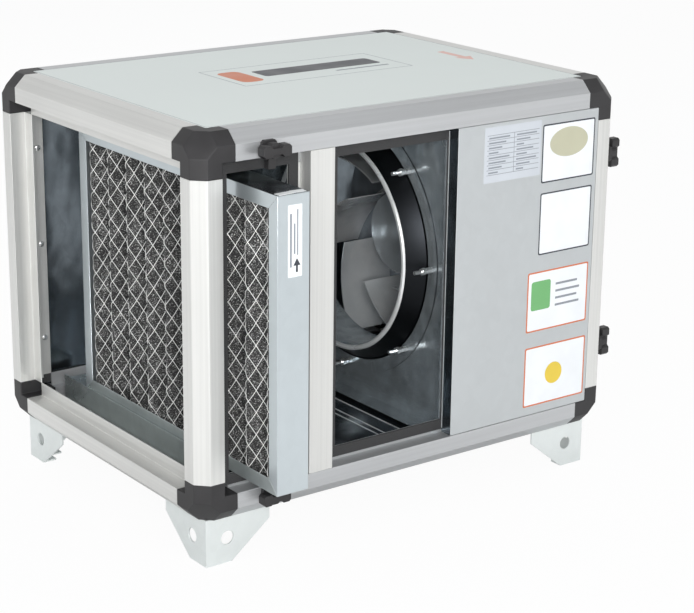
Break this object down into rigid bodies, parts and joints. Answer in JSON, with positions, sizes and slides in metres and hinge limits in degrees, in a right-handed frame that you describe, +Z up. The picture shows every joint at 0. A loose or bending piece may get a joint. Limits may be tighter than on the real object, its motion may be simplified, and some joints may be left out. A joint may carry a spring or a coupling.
{
  "type": "enclosure filter fan",
  "caption": "Box fan unit in a framed sheet enclosure, with an open inlet end, a pleated filter that slides out of the side, an inlet ring, a radial impeller and a round outlet.",
  "frame": {"origin": "middle of the outer box, filter drawn out as shown, on the level that the feet stand on", "axes": "+X along the air's path from the open inlet end to the round outlet, +Y from the access side to the back, +Z up"},
  "size_m": [0.775, 0.638, 0.61],
  "materials": {
    "frame_profile": "satin extruded",
    "corner_plastic": "fine moulded grain",
    "coated_sheet": "pale satin coating",
    "panel_sheet": "galvanised sheet",
    "inner_sheet": "galvanised sheet with sheen",
    "wheel_sheet": "bright galvanised sheet",
    "filter_sheet": "pale zinc sheet",
    "filter_paper": "dark fibrous medium under bright mesh",
    "foot_sheet": "light galvanised sheet",
    "zinc_fastener": "bright zinc",
    "motor_paint": "satin black",
    "seal_rubber": "matt foam rubber",
    "latch_plastic": "moulded, slightly glossy edges"
  },
  "bodies": {
    "cabinet": {"post_front_left": "frame_profile", "post_front_right": "frame_profile", "post_back_right": "frame_profile", "post_back_left": "frame_profile", "rail_bottom_front": "frame_profile", "rail_bottom_back": "frame_profile", "rail_bottom_left": "frame_profile", "rail_bottom_right": "frame_profile", "rail_top_front": "frame_profile", "rail_top_back": "frame_profile", "rail_top_left": "frame_profile", "rail_top_right": "frame_profile", "front_mullion": "frame_profile", "cap_bottom_front_left": "corner_plastic", "cap_bottom_front_right": "corner_plastic", "cap_bottom_back_right": "corner_plastic", "cap_bottom_back_left": "corner_plastic", "cap_top_front_left": "corner_plastic", "cap_top_front_right": "corner_plastic", "cap_top_back_right": "corner_plastic", "cap_top_back_left": "corner_plastic", "top_panel": "coated_sheet", "bottom_panel": "panel_sheet", "back_panel": "panel_sheet", "front_panel": "panel_sheet", "outlet_panel": "panel_sheet", "filter_door_seal": "seal_rubber", "front_seal": "seal_rubber", "panel_seals": "seal_rubber", "partition": "inner_sheet", "inlet_ring": "inner_sheet", "outlet_collar": "inner_sheet", "motor_bridge": "inner_sheet", "filter_guide_bottom": "inner_sheet", "filter_guide_top": "inner_sheet", "ring_studs": "zinc_fastener", "ring_spacers": "zinc_fastener", "ring_nuts": "zinc_fastener", "foot_screws": "zinc_fastener", "motor_stator": "motor_paint", "latch_bases": "latch_plastic", "foot_front_left": "foot_sheet", "foot_front_right": "foot_sheet", "foot_back_right": "foot_sheet", "foot_back_left": "foot_sheet"},
    "filter": {"filter_frame": "filter_sheet", "filter_media": "filter_paper"},
    "impeller": {"impeller_back_plate": "wheel_sheet", "impeller_shroud": "wheel_sheet", "impeller_blades": "wheel_sheet", "motor_rotor": "motor_paint"},
    "knob_filter_top": {"latch_knob_filter_top": "latch_plastic"},
    "knob_filter_bottom": {"latch_knob_filter_bottom": "latch_plastic"},
    "knob_outlet_front_top": {"latch_knob_outlet_front_top": "latch_plastic"},
    "knob_outlet_front_bottom": {"latch_knob_outlet_front_bottom": "latch_plastic"},
    "knob_outlet_back_top": {"latch_knob_outlet_back_top": "latch_plastic"},
    "knob_outlet_back_bottom": {"latch_knob_outlet_back_bottom": "latch_plastic"}
  },
  "joints": [
    {"name": "filter_slide", "type": "slide", "parent": "cabinet", "child": "filter", "axis": [0, 1, 0], "range_m": [-0.375, 0.094]},
    {"name": "impeller_spin", "type": "hinge", "parent": "cabinet", "child": "impeller", "pos_m": [0.2125, 0.041, 0.34], "axis": [1, 0, 0], "continuous": true},
    {"name": "filter_top_turn", "type": "hinge", "parent": "cabinet", "child": "knob_filter_top", "pos_m": [-0.2785, -0.237, 0.582], "axis": [0, -1, 0], "range_deg": [-90, 90]},
    {"name": "filter_bottom_turn", "type": "hinge", "parent": "cabinet", "child": "knob_filter_bottom", "pos_m": [-0.2785, -0.237, 0.098], "axis": [0, -1, 0], "range_deg": [-90, 90]},
    {"name": "outlet_front_top_turn", "type": "hinge", "parent": "cabinet", "child": "knob_outlet_front_top", "pos_m": [0.3525, -0.209, 0.49], "axis": [1, 0, 0], "range_deg": [-90, 90]},
    {"name": "outlet_front_bottom_turn", "type": "hinge", "parent": "cabinet", "child": "knob_outlet_front_bottom", "pos_m": [0.3525, -0.209, 0.19], "axis": [1, 0, 0], "range_deg": [-90, 90]},
    {"name": "outlet_back_top_turn", "type": "hinge", "parent": "cabinet", "child": "knob_outlet_back_top", "pos_m": [0.3525, 0.291, 0.49], "axis": [1, 0, 0], "range_deg": [-90, 90]},
    {"name": "outlet_back_bottom_turn", "type": "hinge", "parent": "cabinet", "child": "knob_outlet_back_bottom", "pos_m": [0.3525, 0.291, 0.19], "axis": [1, 0, 0], "range_deg": [-90, 90]}
  ]
}
